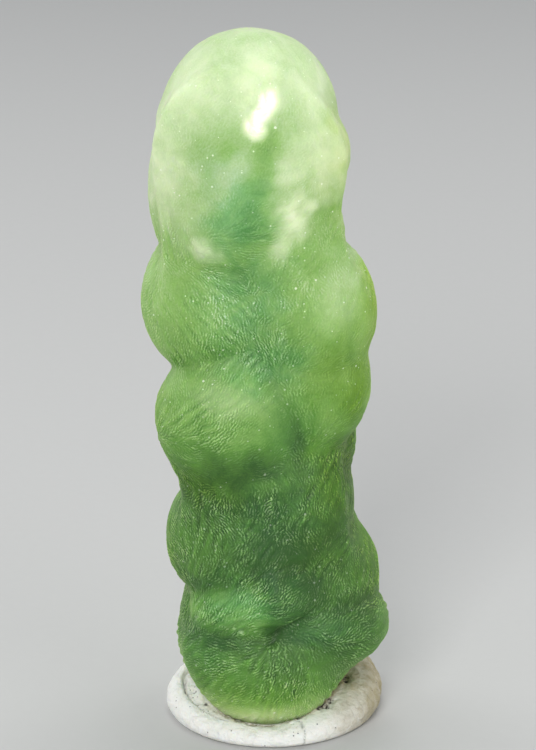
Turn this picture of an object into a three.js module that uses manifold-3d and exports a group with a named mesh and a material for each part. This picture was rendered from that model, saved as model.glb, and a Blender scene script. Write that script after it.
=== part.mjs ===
// A finger of botryoidal prehnite, standing in a squashed pad of white putty.
// Millimetres, +Z up. The origin is on the flat underside of the putty, at the middle of the whole specimen.

import * as THREE from 'three';
import { mergeVertices } from 'three/addons/utils/BufferGeometryUtils.js';
import Module from 'manifold-3d';

const wasm = await Module();
wasm.setup();

// Where the stone's own upright axis stands from the origin
const AXIS_X = 0.311;
const AXIS_Y = -0.321;

// The finger grew around a line that leans a little to the left. Its lumps are measured from here.
const CORE_FOOT = new THREE.Vector3(0.4, -0.6, 10);
const CORE_TIP = new THREE.Vector3(-2.1, 0, 66);
const BROKEN_BASE_Z = 1.0;
const LUMP_BLEND = 0.25;
const ROUND_STEPS = 50;
const RISE_STEPS = 56;
const END_STEPS = 10;

// Each lump is an ellipsoid: its middle, its three radii, and its lean about X and Y in degrees.
// Negative Y is the side of the finger that shows.
const LUMPS = {
  coreLow: lump([0.4, 0.8, 22], [7.4, 7.0, 20], [0, -3]),
  coreHigh: lump([-1.5, 0.8, 52], [7.2, 7.0, 20], [0, -3]),
  dome: lump([-2.0, 0.2, 69.4], [9.5, 9.2, 9.5]),
  leftShoulder: lump([-7.5, -1.4, 69.2], [4.4, 5.4, 4.8]),
  rightShoulder: lump([3.0, -1.8, 66], [5.7, 6.8, 6.0]),
  leftSecond: lump([-7.0, -0.8, 62], [5.9, 6.8, 10.2]),
  frontSecond: lump([-2.2, -5.4, 63.2], [6.4, 4.6, 7.4], [0, 4]),
  rightNeck: lump([2.4, -1.4, 56.6], [5.9, 7.0, 7.6]),
  leftThird: lump([-6.9, -1.0, 49], [6.9, 7.4, 8.2], [0, -6]),
  rightThird: lump([4.8, -1.8, 48.2], [7.1, 7.9, 8.6]),
  rightThirdLow: lump([4.6, -2.2, 40.2], [6.7, 6.6, 8.4], [0, 6]),
  leftFourth: lump([-4.4, -4.4, 36.7], [7.9, 6.4, 8.3], [0, 6]),
  rightBackFourth: lump([4.2, 1.0, 33.2], [5.5, 6.0, 8.5]),
  frontFourth: lump([3.6, -2.4, 32.8], [4.6, 5.0, 5.6]),
  frontWaist: lump([-2.4, -4.4, 29.4], [6.4, 4.6, 3.6]),
  rightFourth: lump([4.2, -1.2, 25.6], [5.3, 7.0, 7.4]),
  leftFifth: lump([-3.3, -2.2, 22.0], [8.0, 7.4, 8.2], [0, 8]),
  rightFifth: lump([5.4, -0.7, 16.8], [6.8, 7.9, 8.2], [0, -6]),
  rightSixth: lump([6.6, -2.4, 12.3], [7.0, 7.3, 4.6], [0, 8]),
  leftSixth: lump([-3.6, -0.6, 11], [6.2, 7.6, 9.0]),
  tongue: lump([-1.4, -5.6, 15.9], [7.2, 5.0, 3.8], [0, -10]),
  tongueTip: lump([1.8, -7.2, 16.9], [3.2, 3.7, 3.5], [0, -12]),
  foot: lump([0, -1.7, 9.2], [9.9, 8.6, 7.6]),
  footTip: lump([-0.1, -3.7, 6.1], [7.4, 7.0, 5.9]),
  backSecond: lump([0.8, 4.2, 61], [6.2, 5.4, 7.4]),
  backThirdLeft: lump([-4.8, 4.0, 53], [5.6, 5.4, 6.4]),
  backThird: lump([2.0, 4.0, 47.2], [6.8, 5.8, 7.4]),
  backFourthLeft: lump([-4.4, 3.4, 39], [6.0, 5.8, 7.2]),
  backFourth: lump([1.8, 3.8, 33.6], [6.4, 6.0, 7.0]),
  backFifthLeft: lump([-2.8, 3.6, 25.6], [6.4, 5.8, 6.8]),
  backFifth: lump([3.8, 3.6, 19.8], [6.2, 5.8, 7.0]),
  backSixth: lump([-2.2, 3.4, 13.4], [6.6, 5.8, 6.8]),
  backFoot: lump([1.4, 3.4, 7.4], [7.4, 5.8, 6.4]),
};

// The putty pad: an oval pressed flat below, with a lip whose height changes as it goes round
const PUTTY_MIDDLE_X = 1.0;
const PUTTY_MIDDLE_Y = 0.6;
const PUTTY_HALF_WIDTH = 12.3;
const PUTTY_HALF_DEPTH = 12.0;
const BULGE_ANGLE = THREE.MathUtils.degToRad(-130);
const BULGE_ONCE = 0.03;
const BULGE_TWICE = 0.02;
const LIP_FRONT = 1.9;
const LIP_LEFT = 3.5;
const LIP_RIGHT = 5.0;
const LIP_BACK = 3.6;
const SEAT_GAP = 0.3;
const PUTTY_STEPS = 64;

// Half a section of the pad, as shares of its radius and of its lip's height
const PUTTY_SECTION = [
  [0, 0],
  [0.5, 0],
  [0.9, 0],
  [0.965, 0.12],
  [1, 0.38],
  [0.985, 0.66],
  [0.93, 0.92],
  [0.86, 1],
  [0.78, 0.95],
  [0.6, 0.8],
  [0, 0.8],
];

function lump(middle, radii, lean = [0, 0]) {
  const turn = new THREE.Euler(...lean.map(THREE.MathUtils.degToRad), 0, 'ZYX');
  const toLocal = new THREE.Matrix4().makeRotationFromEuler(turn).transpose();
  return { middle: new THREE.Vector3(...middle), radii: new THREE.Vector3(...radii), toLocal };
}

// Distance from a point to one lump, negative inside it
function distanceToLump(point, { middle, radii, toLocal }) {
  const local = point.clone().sub(middle).applyMatrix4(toLocal).divide(radii);
  const scale = local.length();
  const slope = local.divide(radii).length();
  return (scale * (scale - 1)) / slope;
}

// Distance to all the lumps grown together, with their seams filled a little, and cut off at the broken base
function distanceToStone(point) {
  const distances = Object.values(LUMPS).map((one) => distanceToLump(point, one));
  const nearest = Math.min(...distances);
  const shares = distances.reduce((sum, d) => sum + Math.exp((nearest - d) / LUMP_BLEND), 0);
  const grown = nearest - LUMP_BLEND * Math.log(shares);
  return Math.max(grown, BROKEN_BASE_Z - point.z);
}

// Only the merged positions, with the shape's own upright Y turned to Z
function uprightMesh(geometry) {
  geometry.deleteAttribute('normal');
  geometry.deleteAttribute('uv');
  return mergeVertices(geometry.rotateX(Math.PI / 2), 1e-5);
}

// A capsule around the core line, its skin pulled in until it lies the margin outside the lumps
function stoneGeometry(margin) {
  const reach = 24;
  const length = CORE_TIP.z - CORE_FOOT.z;
  const geometry = uprightMesh(new THREE.CapsuleGeometry(1, length, END_STEPS, ROUND_STEPS, RISE_STEPS));
  const positions = geometry.attributes.position;
  const skin = new THREE.Vector3();
  for (let i = 0; i < positions.count; i += 1) {
    skin.fromBufferAttribute(positions, i);
    const along = THREE.MathUtils.clamp(skin.z, -length / 2, length / 2);
    const heart = CORE_FOOT.clone().lerp(CORE_TIP, along / length + 0.5);
    const outward = new THREE.Vector3(skin.x, skin.y, skin.z - along).normalize();
    let distance = reach;
    for (let step = 0; step < 60; step += 1) {
      skin.copy(heart).addScaledVector(outward, distance);
      distance -= 0.8 * (distanceToStone(skin) - margin);
    }
    positions.setXYZ(i, skin.x, skin.y, skin.z);
  }
  return geometry;
}

// Height of the lip at an angle, passing through its front, left, right and back heights
function lipHeight(angle) {
  const mean = (LIP_FRONT + LIP_LEFT + LIP_RIGHT + LIP_BACK) / 4;
  const sideways = ((LIP_RIGHT - LIP_LEFT) / 2) * Math.cos(angle);
  const lengthways = ((LIP_BACK - LIP_FRONT) / 2) * Math.sin(angle);
  const twofold = ((LIP_RIGHT + LIP_LEFT - LIP_BACK - LIP_FRONT) / 4) * Math.cos(2 * angle);
  return mean + sideways + lengthways + twofold;
}

// The oval isn't true: it was squashed by hand, and bulges most at its front left
function squash(angle) {
  const fromBulge = angle - BULGE_ANGLE;
  return 1 + BULGE_ONCE * Math.cos(fromBulge) + BULGE_TWICE * Math.cos(2 * fromBulge);
}

function puttyPadGeometry() {
  const section = PUTTY_SECTION.map(([radius, height]) => new THREE.Vector2(radius, height));
  const geometry = uprightMesh(new THREE.LatheGeometry(section, PUTTY_STEPS));
  const positions = geometry.attributes.position;
  for (let i = 0; i < positions.count; i += 1) {
    const x = positions.getX(i);
    const y = positions.getY(i);
    const angle = Math.atan2(y, x);
    positions.setXYZ(
      i,
      PUTTY_MIDDLE_X + x * PUTTY_HALF_WIDTH * squash(angle),
      PUTTY_MIDDLE_Y + y * PUTTY_HALF_DEPTH * squash(angle),
      Math.max(0, positions.getZ(i)) * (x || y ? lipHeight(angle) : LIP_BACK),
    );
  }
  return geometry;
}

function solidOf(geometry) {
  const vertProperties = new Float32Array(geometry.attributes.position.array);
  const triVerts = new Uint32Array(geometry.index.array);
  return new wasm.Manifold(new wasm.Mesh({ numProp: 3, vertProperties, triVerts }));
}

function geometryOf(solid) {
  const { vertProperties, triVerts } = solid.getMesh();
  const geometry = new THREE.BufferGeometry();
  geometry.setAttribute('position', new THREE.BufferAttribute(vertProperties, 3));
  geometry.setIndex(new THREE.BufferAttribute(triVerts, 1));
  return geometry;
}

// The stone: one solid, translucent apple green with a dull glassy skin
function makeStone() {
  const look = new THREE.MeshStandardMaterial({ color: 0x8fb873, roughness: 0.42, metalness: 0 });
  const mesh = new THREE.Mesh(stoneGeometry(0), look);
  mesh.name = 'prehnite';
  return mesh;
}

// The putty: the pad with the stone's seat pressed into it
function makePutty() {
  const pad = solidOf(puttyPadGeometry());
  const seat = solidOf(stoneGeometry(SEAT_GAP));
  const look = new THREE.MeshStandardMaterial({ color: 0xd8d2c4, roughness: 0.85, metalness: 0 });
  const mesh = new THREE.Mesh(geometryOf(pad.subtract(seat)), look);
  mesh.name = 'putty';
  return mesh;
}

const specimen = new THREE.Group();
specimen.position.set(AXIS_X, AXIS_Y, 0);
specimen.add(makeStone(), makePutty());

export default specimen;
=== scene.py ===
"""A finger of botryoidal prehnite, standing in its pad of white putty on a pale studio floor.

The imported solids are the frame. Each piece has its own operator, with its sizes and colours in its settings.
"""

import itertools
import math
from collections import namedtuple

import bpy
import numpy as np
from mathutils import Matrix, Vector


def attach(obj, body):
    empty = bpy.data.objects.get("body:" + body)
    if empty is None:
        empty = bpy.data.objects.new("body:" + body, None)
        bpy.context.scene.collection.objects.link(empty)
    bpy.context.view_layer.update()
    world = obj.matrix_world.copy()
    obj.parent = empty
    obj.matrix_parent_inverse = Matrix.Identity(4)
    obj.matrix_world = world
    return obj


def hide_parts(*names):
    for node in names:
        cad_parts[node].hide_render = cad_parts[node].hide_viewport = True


bl_info = {
    "name": "Botryoidal Prehnite",
    "version": (1, 0, 0),
    "blender": (4, 5, 0),
    "location": "View3D > Sidebar > Prehnite",
    "description": "Builds a finger of botryoidal prehnite, the putty pad that it stands in, and its studio",
    "category": "Add Mesh",
}

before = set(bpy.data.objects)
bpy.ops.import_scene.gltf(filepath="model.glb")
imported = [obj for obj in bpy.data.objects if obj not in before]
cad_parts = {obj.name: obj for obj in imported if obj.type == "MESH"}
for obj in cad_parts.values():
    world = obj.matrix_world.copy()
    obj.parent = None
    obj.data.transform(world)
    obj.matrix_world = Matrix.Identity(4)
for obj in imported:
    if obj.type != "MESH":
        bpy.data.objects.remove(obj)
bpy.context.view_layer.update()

MM = 0.001

# Where the stone's own upright axis stands from the frame's origin, in mm, as in the solids
STONE_AXIS = np.array([0.311, -0.321, 0.0])

# The line that the finger grew around, in mm from the stone's axis, and the height of its broken base
CORE_FOOT = np.array([0.4, -0.6, 10.0])
CORE_TIP = np.array([-2.1, 0.0, 66.0])
BROKEN_BASE_Z = 1.0

# Each lump is an ellipsoid: its middle and radii in mm, its lean about X and Y in degrees,
# the point that its crystal ends are combed away from, and how much paler it is than its height makes it.
Lump = namedtuple("Lump", "middle radii lean fan tint", defaults=(0,))
LUMPS = {
    "core_low": Lump((0.4, 0.8, 22), (7.4, 7.0, 20), (0, -3), (-9, -8, 8)),
    "core_high": Lump((-1.5, 0.8, 52), (7.2, 7.0, 20), (0, -3), (-12, -8, 38)),
    "dome": Lump((-2.0, 0.2, 69.4), (9.5, 9.2, 9.5), (0, 0), (-2, 2, 80)),
    "left_shoulder": Lump((-7.5, -1.4, 69.2), (4.4, 5.4, 4.8), (0, 0), (-9, 0, 78)),
    "right_shoulder": Lump((3.0, -1.8, 66), (5.7, 6.8, 6.0), (0, 0), (2, -6, 74)),
    "left_second": Lump((-7.0, -0.8, 62), (5.9, 6.8, 10.2), (0, 0), (-11, -3, 74)),
    "front_second": Lump((-2.2, -5.4, 63.2), (6.4, 4.6, 7.4), (0, 4), (-9, -8, 56)),
    "right_neck": Lump((2.4, -1.4, 56.6), (5.9, 7.0, 7.6), (0, 0), (-4, -9, 50)),
    "left_third": Lump((-6.9, -1.0, 49), (6.9, 7.4, 8.2), (0, -6), (-13, -4, 57)),
    "right_third": Lump((4.8, -1.8, 48.2), (7.1, 7.9, 8.6), (0, 0), (-1, -8, 40)),
    "right_third_low": Lump((4.6, -2.2, 40.2), (6.7, 6.6, 8.4), (0, 6), (0, -8, 32)),
    "left_fourth": Lump((-4.4, -4.4, 36.7), (7.9, 6.4, 8.3), (0, 6), (-16, -6, 33)),
    "right_back_fourth": Lump((4.2, 1.0, 33.2), (5.5, 6.0, 8.5), (0, 0), (4, -6, 27)),
    "front_fourth": Lump((3.6, -2.4, 32.8), (4.6, 5.0, 5.6), (0, 0), (2, -8, 16)),
    "front_waist": Lump((-2.4, -4.4, 29.4), (6.4, 4.6, 3.6), (0, 0), (-3, -8, 42)),
    "right_fourth": Lump((4.2, -1.2, 25.6), (5.3, 7.0, 7.4), (0, 0), (2, -8, 16)),
    "left_fifth": Lump((-3.3, -2.2, 22.0), (8.0, 7.4, 8.2), (0, 8), (-10, -7, 14), 0.06),
    "right_fifth": Lump((5.4, -0.7, 16.8), (6.8, 7.9, 8.2), (0, -6), (1, -9, 11)),
    "right_sixth": Lump((6.6, -2.4, 12.3), (7.0, 7.3, 4.6), (0, 8), (0.9, -9.8, 12.5)),
    "left_sixth": Lump((-3.6, -0.6, 11), (6.2, 7.6, 9.0), (0, 0), (-7, -5, 21)),
    "tongue": Lump((-1.4, -5.6, 15.9), (7.2, 5.0, 3.8), (0, -10), (-13, -6, 12), 0.30),
    "tongue_tip": Lump((1.8, -7.2, 16.9), (3.2, 3.7, 3.5), (0, -12), (-13, -6, 12), -0.12),
    "foot": Lump((0, -1.7, 9.2), (9.9, 8.6, 7.6), (0, 0), (0.9, -10, 13)),
    "foot_tip": Lump((-0.1, -3.7, 6.1), (7.4, 7.0, 5.9), (0, 0), (0.9, -10, 13)),
    "back_second": Lump((0.8, 4.2, 61), (6.2, 5.4, 7.4), (0, 0), (0, 10, 70)),
    "back_third_left": Lump((-4.8, 4.0, 53), (5.6, 5.4, 6.4), (0, 0), (-10, 6, 47)),
    "back_third": Lump((2.0, 4.0, 47.2), (6.8, 5.8, 7.4), (0, 0), (8, 10, 41)),
    "back_fourth_left": Lump((-4.4, 3.4, 39), (6.0, 5.8, 7.2), (0, 0), (-8, 10, 46)),
    "back_fourth": Lump((1.8, 3.8, 33.6), (6.4, 6.0, 7.0), (0, 0), (8, 8, 28)),
    "back_fifth_left": Lump((-2.8, 3.6, 25.6), (6.4, 5.8, 6.8), (0, 0), (-9, 9, 21)),
    "back_fifth": Lump((3.8, 3.6, 19.8), (6.2, 5.8, 7.0), (0, 0), (3, 10, 27)),
    "back_sixth": Lump((-2.2, 3.4, 13.4), (6.6, 5.8, 6.8), (0, 0), (-9, 8, 9)),
    "back_foot": Lump((1.4, 3.4, 7.4), (7.4, 5.8, 6.4), (0, 0), (2, 9, 13)),
}

# How much wider the seams are filled across the front than at the sides: height and extra width in mm.
# The front begins and is full at these places along Y.
FRONT_SEAM_FILL = (
    (0, 0.4), (6, 0.7), (10, 0.9), (12.5, 0.4), (15, 0.15), (18.5, 0.15), (22, 0.9), (27, 1.1),
    (30, 0.9), (33, 0.4), (36, 0.2), (42, 0.25), (47, 0.9), (56, 1.5), (80, 1.5))
FRONT_BEGINS = -2.5
FRONT_FULL = -6.5

# Small deep places between lumps: middle and radii in mm, the lean about Y in degrees, and the depth in mm
Pit = namedtuple("Pit", "middle radii lean depth")
PITS = (
    Pit((0.8, -9.6, 12.8), (0.6, 2, 1.0), 38, 0.6),
    Pit((2.4, -9.2, 14.2), (0.35, 2, 1.8), 58, 0.5),
    Pit((-1.5, -9.6, 12.3), (2.4, 2, 0.35), 6, 0.25),
    Pit((-3.4, -6.4, 54.6), (1.5, 3, 1.3), 20, 0.5),
    Pit((3.4, -7.4, 35.0), (0.7, 3, 2.6), -8, 0.25),
)

# Clouds of colour just under the skin: middle and radii in mm, the lean about Y in degrees,
# how strong they are, and how softly they end, from 0 to 1.
Cloud = namedtuple("Cloud", "middle radii lean strength softness")
MILK_AND_FOOT_BOUNCE_CLOUDS = (
    Cloud((-0.4, -8.4, 72.8), (1.35, 4, 2.7), 26, 1.0, 0.65),
    Cloud((-1.4, -8.8, 71.1), (1.4, 4, 1.4), 20, 1.0, 0.6),
    Cloud((-1.2, -8.4, 75.0), (3.0, 4, 4.6), 4, 0.5, 0.9),
    Cloud((-0.6, -7.2, 77.0), (3.0, 4, 3.4), 10, 0.5, 0.9),
    Cloud((-8.4, -5.0, 73.6), (4.2, 5, 4.6), 0, 0.42, 0.9),
    Cloud((4.6, -5.5, 73.4), (2.6, 5, 4.4), 0, 0.35, 0.9),
    Cloud((5.2, -6.5, 67.0), (4.6, 6, 3.8), 20, 0.55, 0.8),
    Cloud((2.7, -8.0, 62.0), (2.3, 4, 3.8), 14, 0.9, 0.8),
    Cloud((1.6, -8.0, 58.4), (1.2, 4, 2.2), 20, 0.6, 0.9),
    Cloud((2.8, -8.4, 66.0), (3.4, 4, 1.1), -16, 0.5, 0.9),
    Cloud((5.4, -6.4, 63.4), (2.4, 4, 1.6), 0, 0.5, 0.9),
    Cloud((-10.4, -5.0, 65.6), (3.8, 6, 7.2), 0, 0.6, 0.9),
    Cloud((-6.1, -6.8, 57.8), (2.5, 3, 2.1), -12, 1.0, 0.6),
    Cloud((-8.2, -6.6, 60.4), (2.8, 4, 3.4), 24, 0.4, 0.9),
    Cloud((7.4, -8.0, 51.6), (2.4, 4, 3.4), 0, 0.2, 0.9),
    Cloud((-4.5, -11.0, 40.6), (5.0, 4, 1.8), 8, 0.15, 0.9),
    # Painted light: this flat cloud low on the foot's front pales it as light thrown up from the putty
    Cloud((-1.0, -10.5, 3.2), (4.5, 4, 1.6), 0, 0.35, 0.9),
    Cloud((-2.0, 8.0, 71.0), (6.0, 5, 6.0), 0, 0.6, 0.9),
    Cloud((3.0, 9.0, 60.0), (2.4, 4, 5.0), 20, 0.6, 0.8),
    Cloud((-6.0, 8.0, 53.0), (2.4, 4, 3.0), 0, 0.4, 0.9),
)
TEAL_DEPTHS = (
    Cloud((-4.0, -9.6, 65.0), (4.4, 6, 3.4), 20, 0.3, 0.9),
    Cloud((-2.8, -9.6, 61.5), (3.8, 6, 6.0), 14, 1.0, 0.9),
    Cloud((-1.0, -9.6, 65.4), (2.6, 6, 3.0), 14, 0.25, 0.9),
    Cloud((-2.0, -7.0, 52.0), (4.6, 6, 8.5), 10, 1.0, 0.9),
    Cloud((-0.6, -8.0, 44.6), (4.6, 5, 4.0), 0, 1.0, 0.9),
    Cloud((2.2, -7.4, 35.0), (2.6, 4, 6.0), 0, 0.35, 0.9),
    Cloud((0.6, -8.4, 27.0), (5.0, 5, 5.4), 0, 0.7, 0.9),
    Cloud((-1.4, -9.6, 16.8), (7.6, 4, 4.0), -10, 1.0, 0.8),
    Cloud((4.6, -9.0, 14.0), (4.8, 4, 2.2), 0, 0.9, 0.8),
    Cloud((-6.0, -8.0, 11.0), (4.0, 4, 4.0), 0, 0.5, 0.9),
    Cloud((0, 8.0, 42.0), (4.0, 5, 8.0), 0, 0.8, 0.9),
    Cloud((0, 8.0, 22.0), (4.0, 5, 6.0), 0, 0.8, 0.9),
)
DEEP_SPOTS = (
    Cloud((-3.4, -6.2, 54.6), (1.9, 3, 1.6), 20, 1.0, 0.8),
    Cloud((0.6, -9.4, 13.2), (2.0, 3, 1.3), -10, 0.9, 0.8),
    Cloud((-0.2, -9.4, 68.4), (1.8, 3, 2.4), 20, 0.9, 0.8),
    Cloud((-0.8, -9.8, 66.0), (2.2, 4, 3.8), 10, 0.85, 0.9),
    Cloud((-3.6, -9.4, 69.4), (2.8, 4, 2.4), 0, 0.32, 0.9),
    Cloud((-1.8, -9.4, 61.4), (2.2, 4, 5.4), 8, 0.65, 0.9),
    Cloud((-2.4, -7.0, 54.0), (2.6, 4, 3.4), 10, 0.5, 0.9),
    Cloud((3.2, -6.8, 35.4), (0.9, 3, 4.0), -8, 0.6, 0.8),
    Cloud((0.0, -8.0, 29.6), (7.0, 4, 1.4), 0, 0.35, 0.9),
    Cloud((-3.0, -10.0, 32.4), (4.8, 4, 3.0), 0, 0.45, 0.9),
    Cloud((9.0, -2.0, 31.0), (3.4, 5, 7.0), 0, 0.45, 0.9),
    Cloud((0.6, -8.0, 23.0), (3.8, 4, 4.4), 0, 0.55, 0.9),
    Cloud((8.6, -6.0, 13.4), (4.4, 5, 3.4), 0, 0.5, 0.9),
    Cloud((0.6, -10.0, 8.4), (4.0, 4, 3.0), 0, 0.35, 0.9),
    Cloud((4.8, -8.0, 17.6), (2.8, 3, 3.2), 0, 0.55, 0.9),
    Cloud((-3.0, -9.0, 11.6), (4.6, 3, 1.3), 8, 0.5, 0.9),
)
OLIVE_EDGES = (
    Cloud((14.0, 0, 48.0), (5.5, 9, 10.0), 0, 1.0, 0.9),
    Cloud((10.5, -6, 40.0), (4.4, 6, 7.0), 0, 0.9, 0.9),
    Cloud((12.0, 0, 24.0), (6.0, 9, 16.0), 0, 1.0, 0.9),
    Cloud((9.0, 0, 61.0), (3.4, 9, 5.0), 0, 0.7, 0.9),
    Cloud((7.0, -3, 67.0), (4.4, 7, 5.4), 0, 0.5, 0.9),
    Cloud((9.0, -2, 31.0), (4.6, 7, 8.5), 0, 1.0, 0.7),
    Cloud((11.5, -2, 48.0), (3.0, 8, 9.0), 0, 1.0, 0.8),
    Cloud((-12.5, 0, 34.0), (3.6, 9, 9.0), 0, 0.8, 0.9),
    Cloud((-7.0, -8, 30.4), (7.0, 7, 2.6), 0, 0.8, 0.9),
    Cloud((-12.0, 0, 18.0), (3.4, 9, 9.0), 0, 0.8, 0.9),
    Cloud((-2.0, -9, 5.0), (9.0, 7, 3.6), 0, 0.5, 0.9),
    Cloud((0.0, -8, 30.0), (4.0, 5, 1.6), 0, 0.3, 0.9),
    Cloud((8.0, -7, 30.0), (4.4, 6, 7.0), 0, 0.9, 0.9),
    Cloud((6.0, -7, 22.0), (5.0, 6, 5.0), 0, 0.5, 0.9),
    Cloud((7.5, -7, 43.0), (4.0, 6, 6.0), 0, 0.6, 0.9),
    Cloud((-2.0, 12, 36.0), (9.0, 6, 5.0), 0, 0.5, 0.9),
)

# Places where the combing is stronger or weaker than at the same height elsewhere
COMBED_PATCHES = (
    Cloud((-1.8, -8.0, 59.0), (4.0, 5, 5.0), 10, 0.8, 0.9),
    Cloud((-3.5, -7.0, 51.0), (5.0, 5, 5.5), 20, 1.0, 0.9),
    Cloud((-0.5, -8.0, 45.0), (5.0, 5, 3.0), -25, 0.7, 0.9),
    Cloud((-7.5, -9.0, 37.0), (4.5, 5, 2.4), -15, 0.8, 0.9),
    Cloud((0.0, -8.0, 28.5), (8.0, 5, 2.0), 0, 0.6, 0.9),
    Cloud((-5.5, -8.0, 22.5), (4.5, 5, 4.0), 0, 0.5, 0.9),
    Cloud((-3.0, -10.0, 16.6), (5.0, 5, 2.6), -12, 0.9, 0.9),
    Cloud((1.0, -10.0, 7.5), (6.0, 5, 4.4), 0, 1.0, 0.9),
    Cloud((4.5, 8.0, 45.0), (4.5, 5, 4.0), 0, 0.7, 0.9),
    Cloud((-3.0, 8.0, 24.0), (4.5, 5, 4.0), 0, 0.7, 0.9),
)
SMOOTH_PATCHES = (
    Cloud((7.0, -7, 49.0), (5.5, 7, 6.5), 0, 0.75, 0.8),
    Cloud((7.0, -7, 40.0), (4.0, 7, 5.0), 0, 0.6, 0.8),
    Cloud((0.5, -10, 36.0), (4.0, 5, 6.0), 10, 0.85, 0.8),
    Cloud((-4.0, -10, 31.5), (6.0, 5, 2.6), 10, 0.85, 0.8),
    Cloud((-9.0, -6, 51.5), (3.0, 5, 5.0), 0, 0.5, 0.8),
    Cloud((-5.4, -8, 17.8), (2.4, 5, 1.8), 0, 0.6, 0.8),
    Cloud((0.0, -10, 4.0), (4.0, 5, 1.6), 0, 0.5, 0.8),
    Cloud((6.0, 6, 30.0), (4.0, 5, 7.0), 0, 0.6, 0.8),
)

# How deep the green is at each height, from 0 for pale to 1 for deep: the stone's own trend, with painted
# shade that darkens it downwards and painted light from the putty that pales the foot; how much paler a lump's
# crown is painted, as light from above;
# and how much deeper in the hollows between lumps, as painted shade, and in the deep spots
GREEN_AND_PAINTED_LIGHT_BY_HEIGHT = (
    (1, 0.06), (3, 0.2), (6, 0.58), (12, 0.84), (20, 0.90), (27, 0.88), (30, 0.80), (36, 0.58), (44, 0.46),
    (52, 0.36), (60, 0.26), (68, 0.17), (74, 0.13), (80, 0.13))
PAINTED_LIGHT_ON_CROWNS = 0.12
PAINTED_SHADE_IN_HOLLOWS = 0.30
DEEPER_SPOT = 0.35

# How far out from the skin, in mm, the stone is felt for to find its hollows
HOLLOW_REACH = 1.6

# How strongly the skin is combed at each height
COMBING_BY_HEIGHT = ((1, 1.0), (30, 1.0), (38, 0.8), (48, 0.9), (56, 0.7), (62, 0.35), (80, 0.2))

# The putty pad, in mm from the stone's axis, as in the solids
PUTTY_MIDDLE = np.array([1.0, 0.6])
SEAT_HEART = np.array([0.4, -1.8])
PUTTY_HALF_WIDTH = 12.3
PUTTY_HALF_DEPTH = 12.0
BULGE_ANGLE = math.radians(-130)
BULGE_ONCE = 0.03
BULGE_TWICE = 0.02

# How the pad changes as it goes round. For each direction, in degrees from +X towards +Y: the lip's height,
# its crown's share of the radius, the crease's depth behind it, and the height where putty meets stone.
RimKey = namedtuple("RimKey", "angle lip crown crease contact")
RIM = (
    RimKey(-180, 3.5, 0.88, 0.8, 3.7),
    RimKey(-155, 3.0, 0.88, 0.9, 3.0),
    RimKey(-135, 2.5, 0.87, 0.7, 2.1),
    RimKey(-115, 2.1, 0.86, 0.2, 1.7),
    RimKey(-90, 1.9, 0.86, 0.0, 1.45),
    RimKey(-60, 2.7, 0.80, 0.0, 2.4),
    RimKey(-30, 4.0, 0.72, 0.0, 3.8),
    RimKey(0, 5.0, 0.70, 0.0, 4.8),
    RimKey(30, 5.2, 0.72, 0.0, 4.8),
    RimKey(60, 4.5, 0.78, 0.1, 3.9),
    RimKey(90, 3.6, 0.85, 0.3, 3.0),
    RimKey(135, 3.3, 0.87, 0.6, 3.2),
)

# Dents in the putty with dirt in them: direction in degrees, share of the way from crown to stone,
# radius and depth in mm
DENTS = (
    (-46, 0.50, 0.55, 0.65),
    (-41, 0.40, 0.36, 0.50),
    (-50, 0.72, 0.24, 0.30),
    (-19, 0.10, 0.50, 0.55),
    (-13, 0.16, 0.32, 0.40),
    (-16, 0.75, 0.24, 0.30),
    (-68, 0.75, 0.26, 0.30),
    (-84, 0.8, 0.24, 0.30),
    (-150, 0.7, 0.28, 0.25),
    (-165, 0.5, 0.30, 0.25),
    (70, 0.4, 0.45, 0.40),
)
CRACK_ANGLE = math.radians(-75)


def cloud(points, size, seed):
    """Smooth noise from -1 to 1 whose swells are about size mm across."""
    lattice = np.random.default_rng(seed).uniform(-1, 1, (32, 32, 32))
    cell = points / size
    corner = np.floor(cell).astype(int)
    part = cell - corner
    part = part * part * (3 - 2 * part)
    total = np.zeros(len(points))
    for step in itertools.product((0, 1), repeat=3):
        weight = np.prod(np.where(step, part, 1 - part), axis=1)
        i, j, k = ((corner + step) % 32).T
        total += weight * lattice[i, j, k]
    return total


def combed(points, across, spacing, length, seed):
    """Short waves about length mm long and spacing mm apart, which run square to the across directions."""
    rng = np.random.default_rng(seed)
    places = rng.random((16, 16, 16, 2, 3))
    phases = rng.uniform(0, 2 * math.pi, (16, 16, 16, 2))
    cell = points / length
    corner = np.floor(cell).astype(int)
    part = cell - corner
    turns = 2 * math.pi * length / spacing
    total = np.zeros(len(points))
    for step in itertools.product((-1, 0, 1), repeat=3):
        i, j, k = ((corner + step) % 16).T
        for one in range(2):
            away = part - step - places[i, j, k, one]
            fade = np.exp(-3.0 * (away * away).sum(1))
            total += fade * np.cos(turns * (away * across).sum(1) + phases[i, j, k, one])
    return total


def unit(vectors):
    return vectors / np.maximum(np.linalg.norm(vectors, axis=-1, keepdims=True), 1e-9)


def smooth(low, high, value):
    """0 below low, 1 above high, and an even curve between them."""
    share = np.clip((value - low) / (high - low), 0, 1)
    return share * share * (3 - 2 * share)


def lean_matrix(about_x, about_y):
    x, y = math.radians(about_x), math.radians(about_y)
    turn_x = np.array([[1, 0, 0], [0, math.cos(x), -math.sin(x)], [0, math.sin(x), math.cos(x)]])
    turn_y = np.array([[math.cos(y), 0, math.sin(y)], [0, 1, 0], [-math.sin(y), 0, math.cos(y)]])
    return turn_y @ turn_x


def lump_distances(points):
    """Distance from each point to each lump, one row a lump, negative inside."""
    rows = []
    for lump in LUMPS.values():
        radii = np.array(lump.radii, float)
        local = (points - lump.middle) @ lean_matrix(*lump.lean) / radii
        scale = np.linalg.norm(local, axis=1)
        slope = np.linalg.norm(local / radii, axis=1)
        rows.append(scale * (scale - 1) / np.maximum(slope, 1e-9))
    return np.array(rows)


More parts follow.
